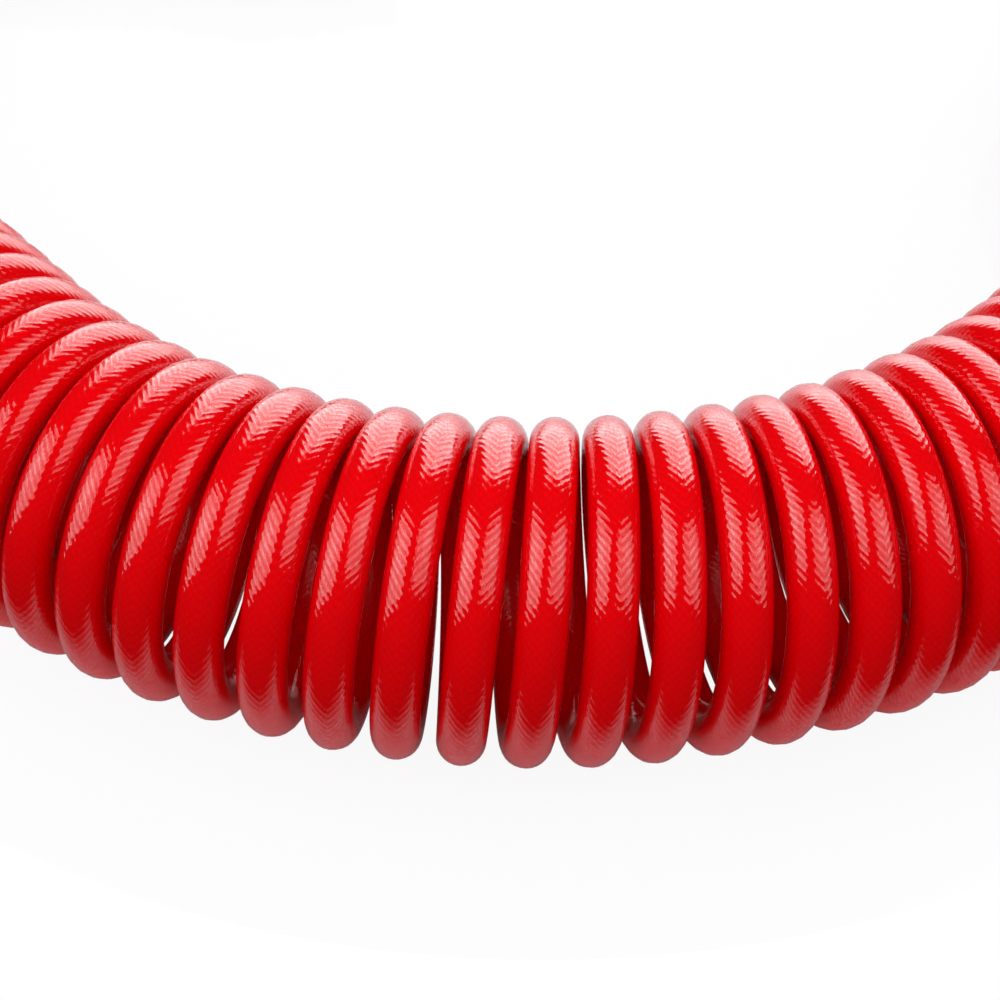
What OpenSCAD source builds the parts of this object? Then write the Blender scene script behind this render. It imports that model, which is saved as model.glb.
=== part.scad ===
// Coiled (recoil) air hose, 12 x 8 mm, 15 m: a left-hand coil that lies on the floor
// in a wide horseshoe, with a swivel plug on its inlet and a swivel coupler on its outlet.
// Millimetres, +Z up, the floor at z = 0, the front of the horseshoe towards -Y.

/* [Hose] */
// Outside diameter of the hose
hose_od = 12; // [10:0.5:13]
// Bore of the hose where a barb holds it open
barb_bore = 8.7; // [7.5:0.1:9]

/* [Coil] */
// Diameter of the coil at the middle of the hose
coil_mean_d = 72.4; // [60:0.2:84]
// Whole turns from the front of the bend to the inlet end, and half a turn more
inlet_turns = 34; // [24:1:36]
// Whole turns from the front of the bend to the outlet end, and half a turn more
outlet_turns = 29; // [22:1:32]
// Space between turns along the inner side of the bend
turn_gap = 0.1; // [0.05:0.05:1]
// Depth by which each turn is flattened where it stands on the floor
flat_depth = 1.2; // [0.5:0.1:1.5]

/* [Horseshoe] */
// Heading of the coil's axis at the front joint, in degrees
front_heading = -3; // [-10:0.5:10]
// Share of the front bend that the turns follow, the rest is shear
front_share = 0.73; // [0.5:0.01:1]
// Radius of the front bend on the outlet side
front_right_r = 195; // [180:5:260]
// Sweep of the front bend on the outlet side
front_right_sweep = 36.5; // [25:0.5:45]
// Radius of the side bend on the outlet side
side_right_r = 215; // [170:5:230]
// Radius of the front bend on the inlet side
front_left_r = 190; // [140:5:200]
// Sweep of the front bend on the inlet side
front_left_sweep = 44.5; // [30:0.5:50]
// Straight stretch between the two bends on the inlet side
left_run = 105; // [80:5:140]
// Radius of the side bend on the inlet side
side_left_r = 160; // [150:5:220]

/* [Tails] */
// Length of plain tail that rises from the floor to the fitting
tail_rise = 40; // [30:1:70]
// Length of the outlet tail before its bend
outlet_reach = 24; // [18:1:40]
// Radius of the bend in the outlet tail
tail_bend_r = 45; // [40:1:60]
// Length of the outlet tail that lies beside the coil, before it rises
outlet_lead = 52; // [20:1:90]

/* [Kink guards] */
// Wire of the kink guard springs
guard_wire = 1.8; // [1.5:0.1:2]
// Length of a kink guard spring
guard_len = 60; // [45:1:80]
// Curls of a kink guard spring
guard_curls = 8; // [6:1:10]

/* [Hose fittings] */
// Bore through the hose stem
stem_bore = 6; // [4:0.1:6.4]
// Length of the barb inside the hose
barb_len = 20; // [16:1:26]
// Barb ridges
barb_ridges = 4; // [2:1:5]
// Outside diameter of the stem's thread
stem_thread_d = 15.8; // [15:0.1:17]
// Length of the stem's thread
stem_thread_len = 9; // [7:0.5:12]
// Width across flats of the nut, stem and adapter hexagons
hex_af = 19; // [18:0.5:20]
// Thickness of the stem's hexagon
stem_hex_len = 5; // [4:0.5:8]

/* [Swivel] */
// Diameter of the swivel spigot
spigot_d = 11.4; // [11:0.1:11.6]
// Length of the swivel spigot
spigot_len = 14; // [13:0.5:18]
// Section of the swivel seal
swivel_seal_d = 1.8; // [1.4:0.1:2]
// Thickness of the swivel's snap ring
swivel_ring_t = 1.2; // [0.8:0.1:1.5]
// Outside diameter of the swivel shells
shell_d = 19.6; // [18.5:0.1:22]

/* [Plug] */
// Diameter of the plug's body and of its lock ridge
plug_d = 12; // [11:0.1:12.4]
// Diameter of the plug's nose
plug_nose_d = 10; // [9:0.1:10.2]
// Diameter of the plug's lock groove
plug_groove_d = 9.6; // [9:0.1:10]
// Air bore of the plug
plug_bore = 7.2; // [5:0.1:7.4]
// Distance from the plug's tip to the middle of its lock groove
plug_lock_reach = 10.5; // [10:0.1:12]
// Length of the plug's body behind the groove
plug_body_len = 7; // [6:0.5:10]

/* [Coupler] */
// Outside diameter of the coupler sleeve
sleeve_d = 24; // [23.4:0.1:28]
// Outside diameter of the coupler body's nose
nose_d = 17.8; // [17.4:0.1:18.4]
// Socket of the coupler
socket_d = 12.2; // [11.8:0.1:12.4]
// Diameter of the locking balls
ball_d = 4; // [3.6:0.1:4.2]
// Travel of the coupler sleeve
sleeve_travel = 5; // [4:0.1:5.5]
// Travel of the valve
valve_travel = 4; // [3:0.1:4.5]
// Wire of the sleeve spring
sleeve_wire = 0.8; // [0.6:0.05:0.9]
// Wire of the valve spring
valve_wire = 1; // [0.8:0.05:1.1]
// Flutes in the sleeve's grip
sleeve_flutes = 16; // [8:1:20]

/* [Hidden] */

// Facets of round solids
round_fn = 48;

// --- colours ---
red = [0.86, 0.02, 0.03];
steel = [0.72, 0.72, 0.74];
spring_steel = [0.62, 0.62, 0.64];
brass = [0.80, 0.66, 0.32];
black = [0.08, 0.08, 0.09];

// --- clearances ---
running = 0.08;
seat_gap = 0.1;

// --- coil: its axis is walked outwards from the front joint, ring by ring ---
rings_per_turn = 8;
coil_sides = 6;
hose_r = hose_od / 2;
coil_r = coil_mean_d / 2;
touch = hose_od + turn_gap;
axis_z = coil_r + hose_r - flat_depth;
front_turn = front_share * front_heading;
deg = PI / 180;

// Stretches of the axis, [sweep of the axis, sweep of the turns, length]
side_right_sweep = 90 - front_heading - front_right_sweep;
side_left_sweep = 90 + front_heading - front_left_sweep;
right_way = [
    [front_right_sweep, front_share * front_right_sweep, front_right_r * front_right_sweep * deg],
    [side_right_sweep, 90 - front_turn - front_share * front_right_sweep,
        side_right_r * side_right_sweep * deg]
];
left_way = [
    [front_left_sweep, front_share * front_left_sweep, front_left_r * front_left_sweep * deg],
    [0, (1 - front_share) * (front_left_sweep - front_heading), left_run],
    [side_left_sweep, side_left_sweep, side_left_r * side_left_sweep * deg]
];

function rates(way, s, i = 0) =
    i == len(way) ? [0, 0]
    : s < way[i][2] ? [way[i][0], way[i][1]] / way[i][2]
    : rates(way, s - way[i][2], i + 1);

// The pitch keeps the turns a hose's width apart along the inner side of the bend
function pitch(st, rate) = touch / (cos(st[2] - st[3]) - coil_r * rate[1] * deg);

// A state is [x, y, heading of the axis, heading of the turns, length walked]
function step_on(st, ds, dir, rate) = [
    st[0] + dir * ds * cos(st[2] + dir * rate[0] * ds / 2),
    st[1] + dir * ds * sin(st[2] + dir * rate[0] * ds / 2),
    st[2] + dir * rate[0] * ds,
    st[3] + dir * rate[1] * ds,
    st[4] + ds
];
function next_state(st, dir, way) =
    step_on(st, pitch(st, rates(way, st[4])) / rings_per_turn, dir, rates(way, st[4]));

front_state = [0, 0, front_heading, front_turn, 0];
inlet_rings = (inlet_turns + 0.5) * rings_per_turn;
outlet_rings = (outlet_turns + 0.5) * rings_per_turn;
function walk(dir, way, last) =
    [for (i = 0, st = front_state; i <= last; i = i + 1, st = next_state(st, dir, way)) st];
outlet_states = walk(1, right_way, outlet_rings + 1);
inlet_states = walk(-1, left_way, inlet_rings + 1);

function state(k) = k >= 0 ? outlet_states[k] : inlet_states[-k];
function phase(k) = -360 * k / rings_per_turn;
function spoke(k) = [
    sin(phase(k)) * sin(state(k)[3]),
    -sin(phase(k)) * cos(state(k)[3]),
    cos(phase(k))
];
function centre(k) = [state(k)[0], state(k)[1], axis_z] + coil_r * spoke(k);

centres = [for (k = [-inlet_rings - 1 : outlet_rings + 1]) centre(k)];
function centre_at(k) = centres[k + inlet_rings + 1];

// --- tubes: rings of points joined by triangles ---
function unit(v) = v / norm(v);
function above_floor(p) = [p[0], p[1], max(p[2], 0)];
function ring(c, along, out, r, sides) =
    let (side = unit(cross(along, out)), up = cross(side, along))
    [for (j = [0 : sides - 1]) c + r * (cos(360 * j / sides) * up + sin(360 * j / sides) * side)];
function coil_along(k) = unit(centre_at(k + 1) - centre_at(k - 1));
function coil_ring(k) =
    [for (p = ring(centre_at(k), coil_along(k), spoke(k), hose_r, coil_sides)) above_floor(p)];

module tube(rings) {
    n = len(rings[0]);
    last = len(rings) - 1;
    points = [for (r = rings) each r];
    sides = [for (i = [0 : last - 1]) for (j = [0 : n - 1])
        let (a = i * n + j, b = i * n + (j + 1) % n)
        each [[a, b + n, b], [a, a + n, b + n]]];
    start = [for (j = [1 : n - 2]) [0, j, j + 1]];
    end = [for (j = [1 : n - 2]) [last * n, last * n + j + 1, last * n + j]];
    polyhedron(points, concat(start, sides, end), convexity = 10);
}

// Turns at which one coil node meets the next
inlet_bend_turn = -22.5;
left_run_turn = -15.5;
front_left_turn = -8.5;
front_right_turn = 0.5;
right_bend_turn = 9.5;
outlet_run_turn = 21.5;

module coil(from_turn, to_turn) {
    color(red) in_place()
        tube([for (k = [from_turn * rings_per_turn : to_turn * rings_per_turn]) coil_ring(k)]);
}

// --- tails ---
tail_sides = 8;
inlet_start = centre_at(-inlet_rings);
inlet_dir = unit(centre_at(-inlet_rings - 1) - centre_at(-inlet_rings + 1));
outlet_start = centre_at(outlet_rings);
outlet_dir = coil_along(outlet_rings);

// Height of the fittings' axes: the widest piece of each lies just clear of the floor
floor_gap = 0.2;
inlet_z = max(shell_d, hex_af) / 2 + floor_gap;
outlet_z = sleeve_d / 2 + floor_gap;

// Straight end of the hose in its kink guard and nut
nut_len = 20;
end_run = guard_len + nut_len;

function smooth(u) = u * u * (3 - 2 * u);
rise_steps = 5;
function level(dir) = unit([dir[0], dir[1], 0]);
function rise(from, dir, z) = [for (i = [1 : rise_steps]) let (u = i / rise_steps)
    from + tail_rise * u * dir + [0, 0, (z - from[2]) * smooth(u)]];

// The inlet tail leaves the coil sideways, straight across the back
inlet_out = inlet_start + hose_od * inlet_dir;
inlet_bend = [inlet_out[0] + hose_od, inlet_out[1] + 0.5 * hose_od * inlet_dir[1], inlet_start[2]];
inlet_way = [1, 0, 0];
inlet_rise = rise(inlet_bend, inlet_way, inlet_z);
inlet_end = inlet_rise[rise_steps - 1] + end_run * inlet_way;
inlet_path = concat([inlet_start, inlet_out, inlet_bend], inlet_rise, [inlet_end]);

// The outlet tail leaves outwards, turns forward and lies beside the coil
outlet_heading = atan2(outlet_dir[1], outlet_dir[0]);
outlet_out = outlet_start + outlet_reach * level(outlet_dir);
bend_centre = outlet_out + tail_bend_r * [sin(outlet_heading), -cos(outlet_heading), 0];
bend_steps = 5;
outlet_bend = [for (i = [1 : bend_steps]) let (h = outlet_heading - (90 + outlet_heading) * i / bend_steps)
    bend_centre + tail_bend_r * [-sin(h), cos(h), 0]];
outlet_way = [0, -1, 0];
outlet_laid = outlet_bend[bend_steps - 1] + outlet_lead * outlet_way;
outlet_rise = rise(outlet_laid, outlet_way, outlet_z);
outlet_end = outlet_rise[rise_steps - 1] + end_run * outlet_way;
outlet_path = concat([outlet_start, outlet_out], outlet_bend, [outlet_laid], outlet_rise, [outlet_end]);

function path_along(path, i, first) =
    i == 0 ? first
    : i == len(path) - 1 ? unit(path[i] - path[i - 1])
    : unit(unit(path[i + 1] - path[i]) + unit(path[i] - path[i - 1]));
function tail_rings(path, first) = [for (i = [0 : len(path) - 1])
    [for (p = ring(path[i], path_along(path, i, first), [0, 0, 1], hose_r, tail_sides)) above_floor(p)]];

// Lays down, with its +Z along the hose, what is drawn on the end face of the hose
module at_end(end, way) {
    translate(end) rotate([0, 90, atan2(way[1], way[0])]) children();
}

module tail(path, first, way) {
    color(red) in_place() difference() {
        tube(tail_rings(path, first));
        at_end(path[len(path) - 1], way)
            translate([0, 0, -barb_len - 1]) cylinder(d = barb_bore, h = barb_len + 2, $fn = round_fn);
    }
}

// --- the origin is under the middle of the whole part ---
all_points = concat([for (k = [-inlet_rings : outlet_rings]) each coil_ring(k)],
    [for (r = tail_rings(inlet_path, inlet_dir)) each r],
    [for (r = tail_rings(outlet_path, outlet_dir)) each r],
    [inlet_end + [0, hex_af / 2 / cos(30), 0], outlet_end + [sleeve_d / 2, 0, 0]]);
x_all = [for (p = all_points) p[0]];
y_all = [for (p = all_points) p[1]];
x_mid = (min(x_all) + max(x_all)) / 2;
y_mid = (min(y_all) + max(y_all)) / 2;

module in_place() {
    translate([-x_mid, -y_mid, 0]) children();
}

module at_inlet() {
    in_place() at_end(inlet_end, inlet_way) children();
}
module at_outlet() {
    in_place() at_end(outlet_end, outlet_way) children();
}

// --- measures printed for the maker ---
function least_gap(k) = min([for (d = [-1 : 1]) for (a = coil_ring(k))
    for (b = coil_ring(k + rings_per_turn + d)) norm(a - b)]);
function sum_len(path, i = 1, total = 0) =
    i == len(path) ? total : sum_len(path, i + 1, total + norm(path[i] - path[i - 1]));
coil_len = sum_len([for (k = [-inlet_rings : outlet_rings]) centre_at(k)]);

// --- shapes shared by the fittings ---
module turned(profile) {
    rotate_extrude($fn = round_fn) polygon(profile);
}
module hexagon(z, h) {
    // Chamfered corners, flats facing up and down once laid
    corner = hex_af / 2 / cos(30);
    intersection() {
        translate([0, 0, z]) rotate([0, 0, 30]) cylinder(r = corner, h = h, $fn = 6);
        turned([[0, z], [hex_af / 2, z], [corner, z + (corner - hex_af / 2) * 0.6],
                [corner, z + h - (corner - hex_af / 2) * 0.6], [hex_af / 2, z + h], [0, z + h]]);
    }
}
module o_ring(mid_r, section, z) {
    rotate_extrude($fn = round_fn) translate([mid_r, z]) circle(d = section, $fn = 16);
}

// A spring with closed ends, whose curls keep clear of each other
spring_sides = 6;
end_gap = 0.5;
function spring_z(u, curls, wire, z0, z1) =
    let (close = wire + end_gap, low = z0 + wire / 2, high = z1 - wire / 2)
    u <= 1 ? low + close * u
    : u >= curls - 1 ? high - close * (curls - u)
    : low + close + (high - low - 2 * close) * (u - 1) / (curls - 2);
// Its straight facets cut across the curve, so a spring round a shaft starts from the shaft's size
function round_shaft(shaft_r, wire) = (shaft_r + wire / 2) / cos(180 / rings_per_turn);
module spring(mid_r, wire, curls, z0, z1, sides = spring_sides) {
    steps = curls * rings_per_turn;
    way = [for (i = [-1 : steps + 1]) let (u = i / rings_per_turn, a = 360 * u)
        [mid_r * cos(a), mid_r * sin(a), spring_z(min(max(u, 0), curls), curls, wire, z0, z1)]];
    tube([for (i = [1 : steps + 1])
        ring(way[i], unit(way[i + 1] - way[i - 1]), [way[i][0], way[i][1], 0], wire / 2, sides)]);
}

// --- hose fittings: stem with barb, nut, kink guard, swivel seal and ring ---
barb_r = barb_bore / 2 - 0.05;
barb_root_r = barb_r - 0.4;
stem_r = stem_thread_d / 2;
hex_z = stem_thread_len;
spigot_z = hex_z + stem_hex_len;
spigot_end = spigot_z + spigot_len;
spigot_r = spigot_d / 2;
seal_z = spigot_z + 5;
ring_z = spigot_z + 9.5;
groove_extra = 0.3;
seal_root_r = spigot_r - swivel_seal_d + running;
ring_in_r = spigot_r - 0.7;
ring_out_r = spigot_r + 0.6;
shell_bore_r = spigot_r + running;

module stem() {
    ridge = (barb_len - 1) / barb_ridges;
    difference() {
        union() {
            turned(concat([[0, -barb_len]],
                [for (i = [0 : barb_ridges - 1]) let (z = -barb_len + i * ridge)
                    each [[barb_root_r, z], [barb_r, z + ridge * 0.7],
                        [barb_root_r, z + ridge * 0.7 + 0.01]]],
                [[barb_root_r, 0], [stem_r - 0.8, 0], [stem_r, 0.8], [stem_r, hex_z + 1], [0, hex_z + 1]]));
            hexagon(hex_z, stem_hex_len);
            turned([[0, hex_z + 1], [spigot_r, hex_z + 1],
                [spigot_r, seal_z - swivel_seal_d / 2 - groove_extra],
                [seal_root_r, seal_z - swivel_seal_d / 2 - groove_extra],
                [seal_root_r, seal_z + swivel_seal_d / 2 + groove_extra],
                [spigot_r, seal_z + swivel_seal_d / 2 + groove_extra],
                [spigot_r, ring_z - swivel_ring_t / 2 - seat_gap],
                [ring_in_r - seat_gap, ring_z - swivel_ring_t / 2 - seat_gap],
                [ring_in_r - seat_gap, ring_z + swivel_ring_t / 2 + seat_gap],
                [spigot_r, ring_z + swivel_ring_t / 2 + seat_gap],
                [spigot_r, spigot_end - 0.8], [spigot_r - 0.8, spigot_end], [0, spigot_end]]);
        }
        translate([0, 0, -barb_len - 1])
            cylinder(d = stem_bore, h = barb_len + spigot_end + 2, $fn = round_fn);
    }
}

guard_mid_r = round_shaft(hose_r + 0.05, guard_wire);
guard_out_r = guard_mid_r + guard_wire / 2;
guard_seat_z = -nut_len + guard_wire * 2;
nut_front = hex_z - 0.5;
nut_hex_z = -4;
guard_room_r = guard_out_r + 0.2;
nut_neck_r = guard_room_r + 0.8;
nut_hose_r = hose_r + 0.3;
nut_thread_r = stem_r + running;

module nut() {
    difference() {
        union() {
            hexagon(nut_hex_z, nut_front - nut_hex_z);
            turned([[0, -nut_len], [nut_neck_r - 0.8, -nut_len], [nut_neck_r, -nut_len + 0.8],
                [nut_neck_r, nut_hex_z - 2], [hex_af / 2 - 0.3, nut_hex_z],
                [hex_af / 2 - 0.3, nut_hex_z + 1], [0, nut_hex_z + 1]]);
        }
        turned([[0, -nut_len - 1], [guard_room_r, -nut_len - 1], [guard_room_r, guard_seat_z],
            [nut_hose_r, guard_seat_z], [nut_hose_r, -3], [nut_thread_r, -0.5],
            [nut_thread_r, nut_front + 1], [0, nut_front + 1]]);
    }
}

module kink_guard() {
    spring(guard_mid_r, guard_wire, guard_curls, guard_seat_z - seat_gap - guard_len,
        guard_seat_z - seat_gap);
}

module swivel_seal() {
    o_ring(spigot_r + running / 2 - swivel_seal_d / 2, swivel_seal_d - running - 0.04, seal_z);
}

// Wire ring, split at one side, half in the stem and half in the shell
module swivel_ring() {
    split = 1.5;
    difference() {
        translate([0, 0, ring_z - swivel_ring_t / 2])
            cylinder(r = ring_out_r, h = swivel_ring_t, $fn = round_fn);
        translate([0, 0, ring_z - swivel_ring_t])
            cylinder(r = ring_in_r, h = 2 * swivel_ring_t, $fn = round_fn);
        translate([-split / 2, 0, ring_z - swivel_ring_t]) cube([split, ring_out_r + 1, 2 * swivel_ring_t]);
    }
}

// Socket of a swivel shell, cut from the plug and from the coupler adapter
socket_z = spigot_z + 0.3;
socket_end = spigot_end + 0.4;
module swivel_socket() {
    turned([[0, socket_z - 1], [shell_bore_r, socket_z - 1],
        [shell_bore_r, ring_z - swivel_ring_t / 2 - seat_gap / 2],
        [ring_out_r + seat_gap / 2, ring_z - swivel_ring_t / 2 - seat_gap / 2],
        [ring_out_r + seat_gap / 2, ring_z + swivel_ring_t / 2 + seat_gap / 2],
        [shell_bore_r, ring_z + swivel_ring_t / 2 + seat_gap / 2],
        [shell_bore_r, socket_end], [0, socket_end]]);
}

// --- plug ---
shell_r = shell_d / 2;
plug_r = plug_d / 2;
plug_nose_r = plug_nose_d / 2;
plug_groove_r = plug_groove_d / 2;
collar_len = 4;
neck_z = socket_end + 3;
collar_z = neck_z + 4;
plug_z = collar_z + collar_len;
groove_half = ball_d / 2 - 0.3;
plug_mid_z = plug_z + plug_body_len + 0.3 + groove_half;
plug_tip = plug_mid_z + plug_lock_reach;
ridge_len = 2.1;

module plug() {
    difference() {
        turned([[0, socket_z], [shell_r - 1, socket_z], [shell_r, socket_z + 1],
            [shell_r, socket_z + 5], [shell_r - 0.6, socket_z + 5.6], [shell_r - 0.6, socket_z + 7],
            [shell_r, socket_z + 7.6], [shell_r, neck_z - 2], [shell_r - 2, neck_z],
            [plug_r + 0.5, neck_z + 1], [plug_r + 0.5, collar_z - 0.8], [plug_r + 2.2, collar_z],
            [plug_r + 2.2, plug_z - 0.4], [plug_r + 1.8, plug_z], [plug_r, plug_z],
            [plug_r, plug_mid_z - groove_half - 0.3], [plug_groove_r, plug_mid_z - groove_half + 0.3],
            [plug_groove_r, plug_mid_z + groove_half - 0.3], [plug_r, plug_mid_z + groove_half + 0.3],
            [plug_r, plug_mid_z + groove_half + 0.3 + ridge_len],
            [plug_nose_r, plug_mid_z + groove_half + 1.3 + ridge_len],
            [plug_nose_r, plug_tip - 0.5], [plug_nose_r - 0.5, plug_tip], [0, plug_tip]]);
        swivel_socket();
        turned([[0, socket_end - 1], [stem_bore / 2, socket_end - 1], [plug_bore / 2, socket_end + 1],
            [plug_bore / 2, plug_tip - 0.4], [plug_bore / 2 + 0.5, plug_tip + 0.1],
            [plug_bore / 2 + 0.5, plug_tip + 1], [0, plug_tip + 1]]);
        // Spanner flats across the shell's rear
        for (side = [-1, 1])
            translate([side * (shell_r + 5 - 1.3), 0, socket_end]) cube([10, shell_d, 6], center = true);
    }
}

// --- coupler ---
sleeve_r = sleeve_d / 2;
nose_r = nose_d / 2;
socket_r = socket_d / 2;
ball_r = ball_d / 2;
adapter_hex_z = socket_end + 1.4;
adapter_hex_len = 6;
thread_z = adapter_hex_z + adapter_hex_len;
thread_len = 10;
thread_r = 8.5;
chamber_r = 6.9;
flange_z = thread_z + 0.2;
flange_end = thread_z + thread_len;
flange_r = nose_r + 1.7;
throat_z = flange_end + 6.3;
throat_r = plug_groove_r - 0.2;
plug_seal_z = throat_z + 3.9;
plug_seal_len = 2.4;
plug_seal_r = socket_r + 1.1;
ball_z = plug_seal_z + plug_seal_len + 5.4;
body_end = ball_z + 8;
ball_hold_r = plug_groove_r + ball_r + 0.05;
ball_free_r = plug_r + 0.1 + ball_r;
ball_travel = ball_free_r - ball_hold_r;
ball_count = 4;
ball_hole_r = ball_r + 0.06;
relief_r = socket_r + 0.25;
socket_edge = ball_z + ball_hole_r + 0.3;
socket_front = body_end - 0.5;

module adapter() {
    difference() {
        union() {
            turned([[0, socket_z], [shell_r - 1, socket_z], [shell_r, socket_z + 1],
                [shell_r, socket_z + 5], [shell_r - 0.6, socket_z + 5.6], [shell_r - 0.6, socket_z + 7],
                [shell_r, socket_z + 7.6], [shell_r, adapter_hex_z - 1.5], [shell_r - 0.7, adapter_hex_z],
                [shell_r - 0.7, adapter_hex_z + 1], [0, adapter_hex_z + 1]]);
            hexagon(adapter_hex_z, adapter_hex_len);
            turned([[0, thread_z - 1], [thread_r - 0.6, thread_z - 1], [thread_r - 0.6, thread_z + 0.8],
                [thread_r, thread_z + 1.4], [thread_r, flange_end - 0.6], [thread_r - 0.6, flange_end],
                [0, flange_end]]);
        }
        swivel_socket();
        turned([[0, socket_end - 1], [stem_bore / 2, socket_end - 1], [stem_bore / 2, thread_z + 0.8],
            [chamber_r, thread_z + 0.8], [chamber_r, flange_end + 1], [0, flange_end + 1]]);
    }
}

module coupler_shell() {
    difference() {
        turned([[0, flange_z], [flange_r - 0.8, flange_z], [flange_r, flange_z + 0.8],
            [flange_r, flange_end], [nose_r, flange_end], [nose_r, stop_z - seat_gap],
            [stop_in_r - seat_gap, stop_z - seat_gap],
            [stop_in_r - seat_gap, stop_z + stop_t + seat_gap], [nose_r, stop_z + stop_t + seat_gap],
            [nose_r, body_end - 1], [nose_r - 1, body_end], [0, body_end]]);
        turned([[0, flange_z - 1], [thread_r + running, flange_z - 1],
            [thread_r + running, flange_end + 0.3], [chamber_r + 0.1, flange_end + 0.3],
            [chamber_r + 0.1, throat_z], [throat_r, throat_z], [throat_r, plug_seal_z],
            [plug_seal_r, plug_seal_z], [plug_seal_r, plug_seal_z + plug_seal_len],
            [relief_r, plug_seal_z + plug_seal_len], [relief_r, socket_edge], [socket_r, socket_edge],
            [socket_r, socket_front], [socket_r + 0.5, body_end],
            [socket_r + 0.5, body_end + 1], [0, body_end + 1]]);
        for (i = [0 : ball_count - 1])
            rotate([0, 0, i * 360 / ball_count]) translate([0, 0, ball_z]) rotate([0, 90, 0])
                cylinder(r = ball_hole_r, h = nose_r + 1, $fn = 32);
    }
}

module seal_ring() {
    section = plug_seal_len - 2 * seat_gap;
    translate([0, 0, plug_seal_z + seat_gap]) turned([
        [plug_nose_r + 0.15, section * 0.3], [plug_seal_r - 0.05, 0], [plug_seal_r - 0.05, section],
        [plug_nose_r + 0.15, section * 0.7]]);
}

// The sleeve's land holds the balls in, and its ramp lets them out as it is drawn back
land_r = nose_r + running;
ramp_end = ball_z + sleeve_travel;
ramp_r = land_r + ball_travel;
stop_z = ramp_end + 0.3;
stop_t = 1;
stop_in_r = nose_r - 0.7;
stop_out_r = ramp_r + 0.5;
sleeve_front_r = stop_out_r + 0.15;
sleeve_front = body_end + 1.4;
sleeve_back = flange_end - 2.5;
spring_room_r = flange_r + 0.1;
land_z = ball_z - 6;

module sleeve() {
    difference() {
        turned([[spring_room_r, sleeve_back], [sleeve_r - 1.2, sleeve_back], [sleeve_r, sleeve_back + 1.2],
            [sleeve_r, sleeve_back + 8], [sleeve_r - 0.7, sleeve_back + 9],
            [sleeve_r - 0.7, sleeve_front - 11], [sleeve_r, sleeve_front - 10],
            [sleeve_r, sleeve_front - 0.8], [sleeve_r - 0.8, sleeve_front],
            [sleeve_front_r, sleeve_front], [sleeve_front_r, stop_z - 0.15], [ramp_r, stop_z - 0.15],
            [ramp_r, ramp_end], [land_r, ball_z], [land_r, land_z], [spring_room_r, land_z]]);
        for (i = [0 : sleeve_flutes - 1])
            rotate([0, 0, (i + 0.5) * 360 / sleeve_flutes])
                translate([sleeve_r + 0.7, 0, sleeve_front - 9])
                cylinder(r = 1.3, h = 7, $fn = 24);
    }
}

module stop_ring() {
    difference() {
        translate([0, 0, stop_z]) cylinder(r = stop_out_r, h = stop_t, $fn = round_fn);
        translate([0, 0, stop_z - 1]) cylinder(r = stop_in_r, h = stop_t + 2, $fn = round_fn);
        translate([-1, 0, stop_z - 1]) cube([2, stop_out_r + 1, stop_t + 2]);
    }
}

// Both inner springs are drawn as short as their travel makes them, seated at their fixed end
sleeve_curls = 4;
valve_curls = 4;
module sleeve_coil() {
    spring(round_shaft(nose_r + seat_gap, sleeve_wire), sleeve_wire, sleeve_curls,
        flange_end + seat_gap, land_z - sleeve_travel - seat_gap, 5);
}

valve_seal_proud = 0.22;
valve_face_z = throat_z - valve_seal_proud - 0.03;
valve_head_len = 2;
valve_skirt_z = valve_face_z - valve_head_len - 6;
valve_r = chamber_r - running;
module valve() {
    nose = throat_r - 0.4;
    seal_r = valve_seal_mid;
    difference() {
        turned([[valve_r - 1.3, valve_skirt_z], [valve_r, valve_skirt_z], [valve_r, valve_face_z - 0.6],
            [valve_r - 0.6, valve_face_z],
            [seal_r + valve_seal_d / 2 + 0.02, valve_face_z],
            [seal_r + valve_seal_d / 2 + 0.02, valve_face_z - valve_seal_d],
            [seal_r - valve_seal_d / 2 - 0.02, valve_face_z - valve_seal_d],
            [seal_r - valve_seal_d / 2 - 0.02, valve_face_z],
            [nose, valve_face_z], [nose, plug_seal_z + 0.6], [nose - 0.6, plug_seal_z + 1.2],
            [0, plug_seal_z + 1.2], [0, valve_face_z - valve_head_len],
            [valve_r - 1.3, valve_face_z - valve_head_len]]);
        // Slots across the nose and windows in the skirt let the air by
        for (a = [0, 90])
            rotate([0, 0, a]) translate([-1, -throat_r, valve_face_z + 1.2])
                cube([2, 2 * throat_r, plug_seal_z - valve_face_z + 2]);
        for (a = [45 : 90 : 315])
            rotate([0, 0, a]) translate([0, 0, valve_skirt_z + 3]) rotate([0, 90, 0])
                cylinder(r = 1.5, h = 9, $fn = 24);
    }
}

valve_seal_d = 1.4;
valve_seal_mid = (throat_r + chamber_r) / 2 - 0.1;
module valve_ring() {
    o_ring(valve_seal_mid, valve_seal_d, valve_face_z + valve_seal_proud - valve_seal_d / 2);
}

module valve_coil() {
    spring(valve_r - 1.3 - 0.2 - valve_wire / 2, valve_wire, valve_curls, thread_z + 0.8 + seat_gap,
        valve_face_z - valve_head_len - valve_travel - seat_gap, 5);
}

module ball(i) {
    color(steel) at_outlet() rotate([0, 0, i * 360 / ball_count]) translate([ball_hold_r, 0, ball_z])
        sphere(d = ball_d, $fn = 32);
}

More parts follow.
